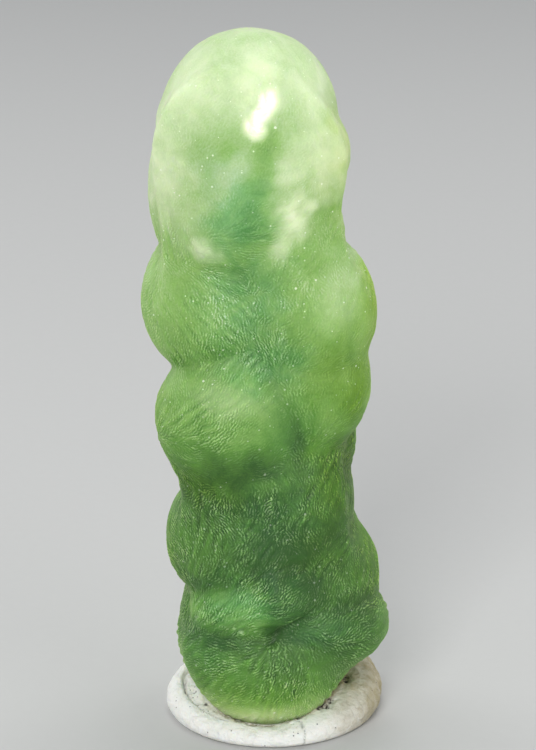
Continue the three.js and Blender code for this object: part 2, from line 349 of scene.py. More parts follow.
def seam_width(points, blend):
    """How widely the seams are filled: as given at the sides and back, and wider across the front."""
    heights, extra = np.array(FRONT_SEAM_FILL).T
    front = smooth(FRONT_BEGINS, FRONT_FULL, points[:, 1])
    return blend + front * np.interp(points[:, 2], heights, extra)


def stone_distance(points, blend):
    """Distance to all the lumps grown together, cut off at the broken base."""
    rows = lump_distances(points)
    nearest = rows.min(0)
    width = seam_width(points, blend)
    grown = nearest - width * np.log(np.exp((nearest - rows) / width).sum(0))
    return np.maximum(grown, BROKEN_BASE_Z - points[:, 2])


def stone_normals(points, blend):
    step = 0.04
    slopes = [
        stone_distance(points + step * axis, blend) - stone_distance(points - step * axis, blend)
        for axis in np.eye(3)
    ]
    return unit(np.array(slopes).T)


def skin_points(hearts, outward, blend):
    """The outermost stone point on each ray from a heart point."""
    reach = np.full(len(hearts), 24.0)
    open_rays = np.arange(len(hearts))
    for _ in range(90):
        here = hearts[open_rays] + outward[open_rays] * reach[open_rays, None]
        gap = stone_distance(here, blend)
        reach[open_rays] -= 0.8 * gap
        open_rays = open_rays[np.abs(gap) > 0.0005]
        if len(open_rays) == 0:
            break
    return hearts + outward * reach[:, None]


def new_mesh_object(name, points_mm, faces):
    """A smooth-shaded object whose points are given in mm from the stone's axis."""
    mesh = bpy.data.meshes.new(name)
    mesh.from_pydata(((points_mm + STONE_AXIS) * MM).tolist(), [], faces)
    mesh.polygons.foreach_set("use_smooth", np.ones(len(mesh.polygons), bool))
    mesh.update()
    piece = bpy.data.objects.new(name, mesh)
    bpy.context.scene.collection.objects.link(piece)
    return piece


def store(piece, name, values):
    """Keeps one number or one direction for each point of the mesh, for its material to read."""
    kind, field = ("FLOAT_VECTOR", "vector") if values.ndim == 2 else ("FLOAT", "value")
    layer = piece.data.attributes.new(name, kind, "POINT")
    layer.data.foreach_set(field, values.astype(np.float32).ravel())


def ring_faces(rings, around, first):
    """Four-sided faces between rings of points, each ring closed on itself."""
    faces = []
    for ring in range(rings - 1):
        low = first + ring * around
        for i in range(around):
            j = (i + 1) % around
            faces.append((low + i, low + j, low + around + j, low + around + i))
    return faces


def fan_faces(pole, ring_start, around, facing_up):
    pairs = [(ring_start + i, ring_start + (i + 1) % around) for i in range(around)]
    return [(pole, a, b) if facing_up else (pole, b, a) for a, b in pairs]


class Materials:
    """A small hand for building one node material."""

    def __init__(self, name):
        self.material = bpy.data.materials.new(name)
        self.material.use_nodes = True
        self.tree = self.material.node_tree
        self.tree.nodes.clear()

    def node(self, kind, inputs=(), **properties):
        made = self.tree.nodes.new(kind)
        for key, value in properties.items():
            setattr(made, key, value)
        for key, value in dict(inputs).items():
            if isinstance(value, bpy.types.NodeSocket):
                self.tree.links.new(value, made.inputs[key])
            else:
                made.inputs[key].default_value = value
        return made

    def math(self, operation, first, second=0.0, third=0.0, clamp=False):
        inputs = {0: first, 1: second, 2: third}
        return self.node("ShaderNodeMath", inputs, operation=operation, use_clamp=clamp).outputs[0]

    def mix(self, share, first, second, blend_type="MIX"):
        inputs = {0: share, 6: first, 7: second}
        return self.node("ShaderNodeMix", inputs, data_type="RGBA", blend_type=blend_type).outputs[2]

    def attribute(self, name, output="Fac"):
        return self.node("ShaderNodeAttribute", attribute_name=name).outputs[output]

    def ramp(self, share, stops):
        made = self.node("ShaderNodeValToRGB", {"Fac": share})
        elements = made.color_ramp.elements
        while len(elements) < len(stops):
            elements.new(0.5)
        for element, (place, colour) in zip(elements, stops):
            element.position = place
            element.color = colour
        return made.outputs["Color"]

    def span(self, value, low, high, new_low=0.0, new_high=1.0):
        inputs = {"Value": value, "From Min": low, "From Max": high, "To Min": new_low, "To Max": new_high}
        return self.node("ShaderNodeMapRange", inputs, interpolation_type="SMOOTHSTEP").outputs["Result"]

    def millimetres(self):
        """The place on the object, counted in millimetres."""
        place = self.node("ShaderNodeTexCoord").outputs["Object"]
        inputs = {"Vector": place, "Scale": (1 / MM, 1 / MM, 1 / MM)}
        return self.node("ShaderNodeMapping", inputs).outputs["Vector"]

    def finish(self, shader):
        self.tree.links.new(shader.outputs[0], self.node("ShaderNodeOutputMaterial").inputs["Surface"])
        return self.material


def rgba(colour):
    return (*colour, 1.0)


# The stone


class PrehniteSettings(bpy.types.PropertyGroup):
    """Sizes and colours of the stone."""

    around: bpy.props.IntProperty(
        name="Points around", description="Points in each ring of the stone's skin", default=284, min=24)
    side_rows: bpy.props.IntProperty(
        name="Rows up the side", description="Rings between the foot and the tip", default=234, min=12)
    seam: bpy.props.FloatProperty(
        name="Seam fill", description="How far lumps are blended where they meet",
        default=0.32 * MM, min=0.05 * MM, unit="LENGTH", precision=5)
    swell: bpy.props.FloatProperty(
        name="Swell", description="Height of the slow unevenness of the lumps",
        default=0.16 * MM, unit="LENGTH", precision=5)
    sheaf_spacing: bpy.props.FloatProperty(
        name="Sheaf spacing", description="Distance between the coarse combed ridges",
        default=1.05 * MM, unit="LENGTH", precision=5)
    sheaf_height: bpy.props.FloatProperty(
        name="Sheaf height", description="Height of the coarse combed ridges",
        default=0.075 * MM, unit="LENGTH", precision=5)
    blade_spacing: bpy.props.FloatProperty(
        name="Blade spacing", description="Distance between the fine crystal ends",
        default=0.29 * MM, unit="LENGTH", precision=5)
    blade_height: bpy.props.FloatProperty(
        name="Blade height", description="Height of the fine crystal ends",
        default=0.032 * MM, unit="LENGTH", precision=5)
    milky: bpy.props.FloatVectorProperty(
        name="Milky", description="Colour of the milky clouds", subtype="COLOR", default=(0.92, 0.98, 0.70))
    white: bpy.props.FloatVectorProperty(
        name="White", description="Colour at the heart of the strongest clouds", subtype="COLOR",
        default=(0.98, 1.0, 0.92))
    pale: bpy.props.FloatVectorProperty(
        name="Pale", description="Colour of the top", subtype="COLOR", default=(0.55, 0.68, 0.40))
    fresh: bpy.props.FloatVectorProperty(
        name="Fresh", description="Colour of the middle lumps", subtype="COLOR", default=(0.29, 0.49, 0.14))
    leaf: bpy.props.FloatVectorProperty(
        name="Leaf", description="Colour of the lower lumps", subtype="COLOR", default=(0.12, 0.285, 0.048))
    deep: bpy.props.FloatVectorProperty(
        name="Deep", description="Colour of the lowest valleys", subtype="COLOR", default=(0.04, 0.12, 0.02))
    ridge_highlight: bpy.props.FloatVectorProperty(
        name="Frost", description="Colour of the fine crystal ends where they catch light",
        subtype="COLOR", default=(0.72, 0.92, 0.54))
    teal: bpy.props.FloatVectorProperty(
        name="Teal", description="What the deep valleys let through", subtype="COLOR",
        default=(0.72, 0.98, 1.40))
    olive: bpy.props.FloatVectorProperty(
        name="Olive", description="What the thin edges let through", subtype="COLOR",
        default=(0.80, 0.82, 0.10))


class PREHNITE_OT_build_stone(bpy.types.Operator):
    """Builds the stone's skin of lumps with its combed crystal ends"""

    bl_idname = "prehnite.build_stone"
    bl_label = "Build Stone"

    def execute(self, context):
        settings = context.scene.prehnite_stone
        points, faces = stone_skin(settings)
        piece = new_mesh_object("prehnite_stone", points, faces)
        dress_stone(piece, points, settings)
        piece.data.materials.append(prehnite_material(settings))
        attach(piece, "root")
        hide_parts("prehnite")
        return {"FINISHED"}


def stone_rays(settings):
    """Rays out of the core line: half a ball at the foot, level rings up the side, half a ball at the tip."""
    around = settings.around
    foot_tilts = np.linspace(-90, 0, settings.side_rows // 5 + 1)[1:-1]
    tip_tilts = np.linspace(0, 90, settings.side_rows // 4 + 1)[1:-1]
    side = np.linspace(0, 1, settings.side_rows)
    shares = np.concatenate([np.zeros_like(foot_tilts), side, np.ones_like(tip_tilts)])
    tilts = np.radians(np.concatenate([foot_tilts, np.zeros_like(side), tip_tilts]))
    turns = np.linspace(0, 2 * math.pi, around, endpoint=False)
    hearts = CORE_FOOT + shares[:, None] * (CORE_TIP - CORE_FOOT)
    hearts = np.repeat(hearts, around, axis=0)
    level = np.cos(tilts)[:, None]
    rise = np.repeat(np.sin(tilts)[:, None], around, axis=1)
    outward = np.stack([level * np.cos(turns), level * np.sin(turns), rise], axis=-1).reshape(-1, 3)
    poles = np.array([[0, 0, -1.0], [0, 0, 1.0]])
    hearts = np.concatenate([CORE_FOOT[None], hearts, CORE_TIP[None]])
    outward = np.concatenate([poles[:1], outward, poles[1:]])
    return hearts, outward, len(shares)


def stone_skin(settings):
    """Points and faces of the stone's skin before its crystal ends are raised."""
    blend = settings.seam / MM
    around = settings.around
    hearts, outward, rings = stone_rays(settings)
    points = skin_points(hearts, outward, blend)
    for _ in range(3):
        points = evened(points, rings, around, blend)
    faces = fan_faces(0, 1, around, facing_up=False)
    faces += ring_faces(rings, around, 1)
    faces += fan_faces(len(points) - 1, 1 + (rings - 1) * around, around, facing_up=True)
    return points, faces


def evened(points, rings, around, blend):
    """Moves each point of the skin halfway to the middle of its neighbours, and back onto the stone."""
    grid = points[1:-1].reshape(rings, around, 3)
    below = np.concatenate([grid[:1], grid[:-1]])
    above = np.concatenate([grid[1:], grid[-1:]])
    middle = (np.roll(grid, 1, axis=1) + np.roll(grid, -1, axis=1) + below + above) / 4
    moved = (0.5 * (grid + middle)).reshape(-1, 3)
    moved -= stone_distance(moved, blend)[:, None] * stone_normals(moved, blend)
    return np.concatenate([points[:1], moved, points[-1:]])


def comb_directions(points, normals):
    """For each point, the direction along the skin that its crystal ends are combed in."""
    fans = np.array([lump.fan for lump in LUMPS.values()], float)
    nearest = lump_distances(points).argmin(0)
    away = points - fans[nearest]
    along = unit(away - (away * normals).sum(1, keepdims=True) * normals)
    across = np.cross(normals, along)
    turn = 0.55 * cloud(points, 4.5, 11) + 0.35 * cloud(points, 1.9, 12)
    return unit(along * np.cos(turn)[:, None] + across * np.sin(turn)[:, None])


def blobs(points, clouds):
    """How deep each point lies in a set of clouds with ragged edges, the strongest one counting."""
    result = np.zeros(len(points))
    wander = np.stack([cloud(points, 1.6, seed) for seed in (21, 22, 23)], axis=1)
    wander += 0.5 * np.stack([cloud(points, 0.7, seed) for seed in (24, 25, 26)], axis=1)
    for one in clouds:
        radii = np.array(one.radii, float)
        shifted = points + 0.28 * min(radii) * wander
        local = (shifted - one.middle) @ lean_matrix(0, one.lean) / radii
        inside = smooth(1 + 0.5 * one.softness, 1 - one.softness, np.linalg.norm(local, axis=1))
        result = np.maximum(result, one.strength * inside)
    return result


def lump_shares(points):
    """How much each point belongs to each lump, and how high it is on it, from -1 to 1."""
    rows = lump_distances(points)
    shares = np.exp((rows.min(0) - rows) / 0.35)
    shares /= shares.sum(0)
    middles = np.array([lump.middle[2] for lump in LUMPS.values()])
    radii = np.array([lump.radii[2] for lump in LUMPS.values()])
    crown = (shares * (points[:, 2] - middles[:, None]) / radii[:, None]).sum(0)
    tint = (shares * np.array([lump.tint for lump in LUMPS.values()])[:, None]).sum(0)
    return np.clip(crown, -1, 1), tint


def dress_stone(piece, points, settings):
    """Raises the combed crystal ends and keeps what the material reads at each point."""
    blend = settings.seam / MM
    normals = stone_normals(points, blend)
    along = comb_directions(points, normals)
    across = np.cross(normals, along)
    height = points[:, 2]
    felt = stone_distance(points + HOLLOW_REACH * normals, blend)
    hollow = np.clip(1 - felt / HOLLOW_REACH, 0, 1)
    heights, strengths = np.array(COMBING_BY_HEIGHT).T
    combing = np.interp(height, heights, strengths) * (1 + 0.6 * cloud(points, 3.2, 31))
    combing *= (1 + 1.1 * blobs(points, COMBED_PATCHES)) * (1 - blobs(points, SMOOTH_PATCHES))
    raised = settings.swell / MM * (cloud(points, 5.5, 41) + 0.5 * cloud(points, 2.4, 42))
    waves = np.clip(combed(points, across, settings.sheaf_spacing / MM, 1.7, 51), -1.5, 1.5)
    raised += settings.sheaf_height / MM * np.clip(combing, 0, 1.4) * waves * smooth(0.95, 0.5, hollow)
    for pit in PITS:
        away = np.linalg.norm((points - pit.middle) @ lean_matrix(0, pit.lean) / pit.radii, axis=1)
        raised -= pit.depth * np.exp(-(away**2))
    above_base = smooth(BROKEN_BASE_Z, BROKEN_BASE_Z + 1.5, height)
    moved = points + (raised * above_base)[:, None] * normals
    piece.data.vertices.foreach_set("co", ((moved + STONE_AXIS) * MM).ravel())
    piece.data.update()
    crown, tint = lump_shares(points)
    heights, greens = np.array(GREEN_AND_PAINTED_LIGHT_BY_HEIGHT).T
    # Painted light and shade: each lump's crown is made paler, as lit from above, and the hollows between
    # lumps deeper, as shaded
    depth = np.interp(height, heights, greens) - PAINTED_LIGHT_ON_CROWNS * crown - tint + PAINTED_SHADE_IN_HOLLOWS * hollow
    depth += DEEPER_SPOT * blobs(points, DEEP_SPOTS)
    store(piece, "across", across)
    store(piece, "sheaf", waves)
    store(piece, "combing", np.clip(combing, 0, 2.5))
    store(piece, "depth", depth)
    store(piece, "milk_and_foot_bounce", blobs(points, MILK_AND_FOOT_BOUNCE_CLOUDS))
    store(piece, "teal", blobs(points, TEAL_DEPTHS))
    store(piece, "olive", blobs(points, OLIVE_EDGES))


def crystal_ends(make, place, wander, settings):
    """Thin ridges along the combed direction: their height, and how steeply it rises across 1 mm."""
    pitch = settings.blade_spacing / MM
    in_a_sheaf = 3.6
    low, high = 0.40, 0.68
    jitter = make.node("ShaderNodeVectorMath", {
        0: wander, 1: (0.4, 0.4, 0.4), 2: place}, operation="MULTIPLY_ADD").outputs[0]
    waves = make.node("ShaderNodeTexGabor", {
        "Vector": jitter, "Scale": 1 / (in_a_sheaf * pitch), "Frequency": in_a_sheaf, "Anisotropy": 0.7,
        "Orientation": make.attribute("across", "Vector")}, gabor_type="3D").outputs
    height = make.span(waves["Value"], low, high, -0.35, 0.65)
    steep = 1 / (high - low)
    share = make.math("MULTIPLY_ADD", waves["Value"], steep, third=-low * steep, clamp=True)
    rise = make.math("MULTIPLY", share, make.math("SUBTRACT", 1.0, share))
    turn = make.math("MULTIPLY_ADD", waves["Phase"], 2 * math.pi, third=-math.pi)
    change = make.math("MULTIPLY", make.math("COSINE", turn), waves["Intensity"])
    slope = make.math("MULTIPLY", make.math("MULTIPLY", change, rise), 6 * steep * math.pi / pitch)
    return height, slope


def prehnite_material(settings):
    """Translucent apple green: milky above, deep below, with a sugary skin of combed crystal ends."""
    make = Materials("prehnite")
    place = make.millimetres()
    sugar_noise = make.node("ShaderNodeTexNoise", {
        "Vector": place, "Scale": 4.2, "Detail": 2.0, "Roughness": 0.7})
    sugar = make.span(sugar_noise.outputs["Fac"], 0.3, 0.7, -0.5, 0.5)
    mottle = make.node("ShaderNodeTexNoise", {
        "Vector": place, "Scale": 0.2, "Detail": 4.0, "Roughness": 0.6, "Distortion": 1.0}).outputs["Fac"]
    mottle = make.math("SUBTRACT", mottle, 0.5)
    veil = make.node("ShaderNodeTexNoise", {
        "Vector": place, "Scale": 0.5, "Detail": 5.0, "Roughness": 0.62, "Distortion": 1.4}).outputs["Fac"]
    combing = make.math("MULTIPLY", make.attribute("combing"), make.span(veil, 0.38, 0.64, 0.15, 1.3))
    blades, slope = crystal_ends(make, place, sugar_noise.outputs["Color"], settings)
    strokes = make.math("MULTIPLY", make.math("MULTIPLY_ADD", make.attribute("sheaf"), 0.10, blades), combing)
    strokes = make.math("ADD", strokes, make.math("MULTIPLY", sugar, 0.4))

    depth = make.math("ADD", make.attribute("depth"), make.math("MULTIPLY", mottle, 0.55))
    # Painted highlights: the combed ridges are made paler, as light caught on them, with the sugary grain
    # mixed in
    depth = make.math("SUBTRACT", depth, make.math("MULTIPLY", strokes, 0.22))
    greens = (settings.pale, settings.fresh, settings.leaf, settings.deep)
    colour = make.ramp(depth, [(stop, rgba(green)) for stop, green in zip((0.0, 0.33, 0.66, 1.0), greens)])
    teal = make.math("MULTIPLY", make.attribute("teal"), make.span(mottle, -0.2, 0.12, 0.35, 0.85))
    tinted = make.mix(1.0, colour, rgba(settings.teal), "MULTIPLY")
    colour = make.mix(teal, colour, tinted)
    # Milky clouds in the stone, and painted light thrown up from the putty onto the foot
    milk_and_foot_bounce = make.math("MULTIPLY", make.attribute("milk_and_foot_bounce"), make.span(veil, 0.3, 0.5, 0.78, 1.0))
    colour = make.mix(milk_and_foot_bounce, colour, rgba(settings.milky))
    colour = make.mix(make.span(milk_and_foot_bounce, 0.62, 1.1), colour, rgba(settings.white))
    # Painted highlights: the crystal ends' ridges are whitened where they would catch the light
    lit = make.math("MULTIPLY", make.math("MULTIPLY", blades, combing), 0.26, clamp=True)
    colour = make.mix(lit, colour, rgba(settings.ridge_highlight))
    olive = make.math("MULTIPLY", make.attribute("olive"), make.span(mottle, -0.25, 0.15, 0.45, 0.9))
    tinted = make.mix(1.0, colour, rgba(settings.olive), "MULTIPLY")
    colour = make.mix(olive, colour, tinted)

    # Painted glints: tiny pale dots in the colour where crystal faces would flash; the same dots are made
    # glossier below
    painted_glints = []
    for spacing, size, kept in ((1.1, 0.15, 0.64), (0.6, 0.11, 0.54)):
        cells = make.node("ShaderNodeTexVoronoi", {"Vector": place, "Scale": 1 / spacing})
        chance = make.node("ShaderNodeSeparateColor", {"Color": cells.outputs["Color"]}).outputs["Red"]
        reach = make.math("MULTIPLY", make.math("SUBTRACT", chance, kept), size / spacing / (1 - kept))
        painted_glints.append(make.math("GREATER_THAN", reach, cells.outputs["Distance"]))
    painted_glint = make.math("MULTIPLY", make.math("MAXIMUM", *painted_glints), make.span(veil, 0.36, 0.48))
    painted_glint = make.math("MULTIPLY", painted_glint, make.span(make.attribute("depth"), 0.25, 0.75, 1.0, 0.3))
    colour = make.mix(make.math("MULTIPLY", painted_glint, 0.75), colour, (0.92, 1.0, 0.82, 1.0))

    grainy = make.node("ShaderNodeBump", {
        "Height": sugar, "Strength": 1.0, "Distance": 0.5 * settings.blade_height}).outputs["Normal"]
    slope = make.math("MULTIPLY", slope, make.math("MULTIPLY", combing, -settings.blade_height / MM))
    lean = make.node("ShaderNodeVectorMath", {
        0: make.attribute("across", "Vector"), "Scale": slope}, operation="SCALE").outputs[0]
    relief = make.node("ShaderNodeVectorMath", {0: grainy, 1: lean}, operation="ADD").outputs[0]
    relief = make.node("ShaderNodeVectorMath", {0: relief}, operation="NORMALIZE").outputs[0]
    roughness = make.math("ADD", make.math("MULTIPLY", sugar, 0.16), 0.54)
    roughness = make.math("SUBTRACT", roughness, make.math("MULTIPLY", painted_glint, 0.32))
    shader = make.node("ShaderNodeBsdfPrincipled", {
        "Base Color": colour,
        "Roughness": roughness,
        "IOR": 1.62,
        "Specular IOR Level": 0.22,
        "Sheen Weight": 0.25,
        "Sheen Roughness": 0.16,
        "Sheen Tint": (0.85, 1.0, 0.35, 1.0),
        "Subsurface Weight": 1.0,
        "Subsurface Radius": (0.7, 1.0, 0.45),
        "Subsurface Scale": 3.4 * MM,
        "Normal": relief,
    }, subsurface_method="RANDOM_WALK")
    return make.finish(shader)


# The putty pad


class PuttySettings(bpy.types.PropertyGroup):
    """Sizes and colours of the putty pad."""

    around: bpy.props.IntProperty(
        name="Points around", description="Points in each ring of the pad", default=420, min=24)
    kneading: bpy.props.FloatProperty(
        name="Kneading", description="Height of the unevenness left by fingers",
        default=0.16 * MM, unit="LENGTH", precision=5)
    imprint: bpy.props.FloatProperty(
        name="Imprint", description="Height of the rough print that the stone left inside the lip",
        default=0.13 * MM, unit="LENGTH", precision=5)
    grain: bpy.props.FloatProperty(
        name="Grain", description="Height of the chalky grain", default=0.22 * MM, unit="LENGTH", precision=5)
    clean: bpy.props.FloatVectorProperty(
        name="Clean", description="Colour of clean putty", subtype="COLOR", default=(0.985, 0.98, 0.92))
    right_side_tone: bpy.props.FloatVectorProperty(
        name="Handled", description="Colour of the handled side", subtype="COLOR", default=(0.33, 0.27, 0.12))
    stain: bpy.props.FloatVectorProperty(
        name="Stain", description="Colour beside the stone", subtype="COLOR", default=(0.36, 0.30, 0.16))
    dirt_and_crease_shade: bpy.props.FloatVectorProperty(
        name="Dirt", description="Colour of specks and dents", subtype="COLOR", default=(0.035, 0.028, 0.02))


class PREHNITE_OT_build_putty(bpy.types.Operator):
    """Builds the squashed putty pad with its lip, groove, dents and crack"""

    bl_idname = "prehnite.build_putty"
    bl_label = "Build Putty"

    def execute(self, context):
        settings = context.scene.prehnite_putty
        piece = putty_pad(settings, context.scene.prehnite_stone.seam / MM)
        piece.data.materials.append(putty_material(settings))
        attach(piece, "root")
        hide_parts("putty")
        return {"FINISHED"}


def rim_value(field, angles):
    """One of the rim's values at each angle, eased between the directions where it is known."""
    keys = [key.angle for key in RIM]
    known = [getattr(key, field) for key in RIM]
    fine = np.arange(-180, 180, 1.0)
    eased = np.interp(fine, keys, known, period=360)
    window = np.hanning(33)
    window /= window.sum()
    eased = np.convolve(np.concatenate([eased[-16:], eased, eased[:16]]), window, mode="valid")
    return np.interp(np.degrees(angles), fine, eased, period=360)


def pad_edge(angles):
    """Distance from the pad's middle to its edge."""
    from_bulge = angles - BULGE_ANGLE
    squash = 1 + BULGE_ONCE * np.cos(from_bulge) + BULGE_TWICE * np.cos(2 * from_bulge)
    return squash * np.hypot(PUTTY_HALF_WIDTH * np.cos(angles), PUTTY_HALF_DEPTH * np.sin(angles))


def seat_points(angles, heights, blend):
    """The stone's skin on a level ray from the seat's heart, at each angle and height."""
    level = np.zeros(len(angles))
    hearts = np.stack([level + SEAT_HEART[0], level + SEAT_HEART[1], heights], axis=1)
    outward = np.stack([np.cos(angles), np.sin(angles), level], axis=1)
    return skin_points(hearts, outward, blend)


def putty_pad(settings, blend):
    """The pad's rings: from the middle of its underside out, up over the lip and down into the seat."""
    around = settings.around
    angles = np.linspace(-math.pi, math.pi, around, endpoint=False)
    edge = pad_edge(angles) * 0.995
    lip = rim_value("lip", angles)
    crown = rim_value("crown", angles) * edge
    crease = rim_value("crease", angles)
    contact = rim_value("contact", angles)
    direction = np.stack([np.cos(angles), np.sin(angles)], axis=1)
    rings, shares = [], []

    def add(radius, height, share):
        flat = PUTTY_MIDDLE + radius[:, None] * direction
        rings.append(np.concatenate([flat, height[:, None]], axis=1))
        shares.append(np.full(around, share))

    for share in np.linspace(0.08, 0.9, 24):
        add(share * edge, np.zeros(around), -1.0)
    for turn in np.radians(np.linspace(-90, 0, 12)[1:]):
        add(edge * (0.9 + 0.1 * math.cos(turn)), 0.38 * lip * (1 + math.sin(turn)), -0.5)
    for turn in np.radians(np.linspace(0, 90, 26)[1:]):
        add(edge + (crown - edge) * (1 - math.cos(turn)), lip * (0.38 + 0.62 * math.sin(turn)), -0.2)
    seat = seat_points(angles, contact, blend)
    inner = rings[-1]
    for share in np.linspace(0, 1, 44)[1:]:
        flat = inner[:, :2] + share * (seat[:, :2] - inner[:, :2])
        fold = math.exp(-(((share - 0.17) / 0.055) ** 2)) + 0.25 * math.exp(-(((share - 0.3) / 0.2) ** 2))
        height = lip + (contact - lip) * smooth(0, 1, share) - crease * fold
        rings.append(np.concatenate([flat, height[:, None]], axis=1))
        shares.append(np.full(around, share))
    floor = BROKEN_BASE_Z - 0.1
    for share in np.linspace(0, 1, 10)[1:]:
        level = contact + (floor - contact) * share
        rings.append(seat_points(angles, np.maximum(level, BROKEN_BASE_Z + 0.05), blend))
        rings[-1][:, 2] = level
        shares.append(np.full(around, 1.5))
    middle = rings[-1].mean(0)
    for share in np.linspace(0, 1, 8)[1:-1]:
        rings.append(rings[-1] + (middle - rings[-1]) * share)
        shares.append(np.full(around, 2.0))

    count = len(rings)
    points = np.concatenate([[[*PUTTY_MIDDLE, 0]], np.concatenate(rings), [middle]])
    share = np.concatenate([[-1], np.concatenate(shares), [2]])
    angle = np.concatenate([[0], np.tile(angles, count), [0]])
    faces = fan_faces(0, 1, around, facing_up=False) + ring_faces(count, around, 1)
    faces += fan_faces(len(points) - 1, 1 + (count - 1) * around, around, facing_up=True)
    piece = new_mesh_object("putty_pad", points, faces)
    dress_putty(piece, points, share, angle, settings)
    return piece


def dress_putty(piece, points, share, angle, settings):
    """Presses the kneading marks, print, dents and crack in, and keeps what the material reads."""
    mesh = piece.data
    normals = np.zeros(len(points) * 3, np.float32)
    mesh.vertices.foreach_get("normal", normals)
    normals = normals.reshape(-1, 3)
    inside = smooth(0.05, 0.3, share) * smooth(1.3, 1.0, share)
    free = smooth(0.15, 0.9, points[:, 2]) * smooth(1.3, 1.0, share) * (share > -0.9)
    side = smooth(-0.15, 0.9, np.cos(angle - 0.4))
    reach = np.hypot(*(points[:, :2] - PUTTY_MIDDLE).T)
    spokes = np.stack([np.cos(angle) * 9, np.sin(angle) * 9, 0.35 * reach + 0.3 * points[:, 2]], axis=1)
    fibres = cloud(spokes, 0.28, 78) + 0.6 * cloud(spokes + 0.4 * cloud(points, 0.8, 79)[:, None], 0.55, 80)
    press = settings.kneading / MM * (cloud(points, 4.0, 71) + 0.5 * cloud(points, 1.7, 72))
    press += settings.imprint / MM * inside * (cloud(points, 0.55, 73) + cloud(points, 1.1, 74))
    press += 0.6 * settings.imprint / MM * side * fibres
    press += 0.5 * settings.imprint / MM * (cloud(points, 0.5, 81) + cloud(points, 1.0, 82))
    # Painted shade: the crease behind the left lip is darkened with the dirt colour
    fold = smooth(0.07, 0.0, np.abs(share - 0.17)) * smooth(-0.6, -0.9, np.cos(angle + 0.35))
    dirt_and_crease_shade = 0.7 * fold * smooth(-0.5, 0.6, cloud(points, 0.6, 75))
    for turn, way, radius, depth in DENTS:
        off_turn = np.abs(np.degrees(angle) - turn)
        here = (off_turn < 25) & (share >= 0) & (share <= 1)
        centre = points[here][np.argmin(off_turn[here] * 0.1 + np.abs(share[here] - way) * 4)]
        away = np.linalg.norm(points - centre, axis=1) * (1 + 0.35 * cloud(points, 0.35, 76))
        press -= depth * np.exp(-((away / radius) ** 2))
        dirt_and_crease_shade = np.maximum(dirt_and_crease_shade, smooth(1.3, 0.4, away / radius))
    wander = CRACK_ANGLE + 0.03 * cloud(points, 0.9, 77)
    crack = np.abs(angle - wander) * reach
    split = smooth(0.22, 0.0, crack) * smooth(-0.9, -0.3, share) * smooth(0.6, 0.3, share)
    press -= 0.22 * split
    moved = points + (press * free)[:, None] * normals
    moved[:, 2] = np.maximum(moved[:, 2], 0)
    mesh.vertices.foreach_set("co", ((moved + STONE_AXIS) * MM).ravel())
    mesh.update()
    stain = smooth(0.2, 0.9, share) * smooth(1.6, 1.2, share) * smooth(-0.5, 0.3, np.cos(angle + 0.9))
    store(piece, "right_side_tone", np.clip(side + 0.06 * inside, 0, 1))
    store(piece, "stain", stain)
    store(piece, "dirt_and_crease_shade", np.maximum(dirt_and_crease_shade, 0.6 * split))
    store(piece, "print", inside)
    store(piece, "fibres", fibres * (0.25 + 0.75 * side))


def putty_material(settings):
    """Chalky white putty, grey-brown on its right side, with dirt pressed into it and painted shade in the
    crease behind its lip.
    """
    make = Materials("putty")
    place = make.millimetres()
    broad = make.node("ShaderNodeTexNoise", {"Vector": place, "Scale": 0.5, "Detail": 4.0}).outputs["Fac"]
    lumpy = make.node("ShaderNodeTexNoise", {
        "Vector": place, "Scale": 1.1, "Detail": 5.0, "Roughness": 0.6, "Distortion": 0.8}).outputs["Fac"]
    fine = make.node("ShaderNodeTexNoise", {
        "Vector": place, "Scale": 3.2, "Detail": 5.0, "Roughness": 0.65}).outputs["Fac"]
    specks = make.node("ShaderNodeTexVoronoi", {"Vector": place, "Scale": 1.9})
    # The right side of the pad is greyer and browner
    right_side_tone = make.math("MULTIPLY", make.attribute("right_side_tone"), make.span(broad, 0.25, 0.75, 0.6, 1.0))
    colour = make.mix(right_side_tone, rgba(settings.clean), rgba(settings.right_side_tone))
    stain = make.math("MULTIPLY", make.attribute("stain"), make.span(fine, 0.35, 0.62, 0.3, 0.95))
    colour = make.mix(stain, colour, rgba(settings.stain))
    smudge = make.math("MULTIPLY_ADD", make.attribute("right_side_tone"), 0.5, third=0.06)
    smudge = make.math("MULTIPLY", smudge, make.span(lumpy, 0.45, 0.66))
    colour = make.mix(smudge, colour, rgba(settings.stain))
    speck = make.span(specks.outputs["Distance"], 0.22, 0.10)
    chosen = make.node("ShaderNodeSeparateColor", {"Color": specks.outputs["Color"]}).outputs["Red"]
    limit = make.math("SUBTRACT", 0.86, make.math("MULTIPLY", make.attribute("print"), 0.3))
    speck = make.math("MULTIPLY", speck, make.math("GREATER_THAN", chosen, limit))
    colour = make.mix(make.math("MULTIPLY", speck, 0.8), colour, rgba(settings.dirt_and_crease_shade))
    threads = make.span(make.attribute("fibres"), -0.35, -0.9)
    threads = make.math("MULTIPLY", threads, make.span(fine, 0.4, 0.6, 0.1, 0.6))
    colour = make.mix(threads, colour, rgba(settings.stain))
    # Dirt in the dents and crack, and painted shade in the crease behind the left lip
    dirt_and_crease_shaded = make.math("MULTIPLY", make.attribute("dirt_and_crease_shade"), make.span(fine, 0.38, 0.56), clamp=True)
    colour = make.mix(dirt_and_crease_shaded, colour, rgba(settings.dirt_and_crease_shade))
    uneven = make.math("MULTIPLY_ADD", lumpy, 1.6, third=fine)
    bump = make.node("ShaderNodeBump", {
        "Height": uneven, "Strength": 1.0, "Distance": settings.grain}).outputs["Normal"]
    shader = make.node("ShaderNodeBsdfPrincipled", {
        "Base Color": colour,
        "Roughness": make.span(fine, 0.2, 0.8, 0.62, 0.88),
        "Subsurface Weight": 0.25,
        "Subsurface Radius": (1.0, 0.8, 0.6),
        "Subsurface Scale": 0.4 * MM,
        "Normal": bump,
    })
    return make.finish(shader)


# The studio

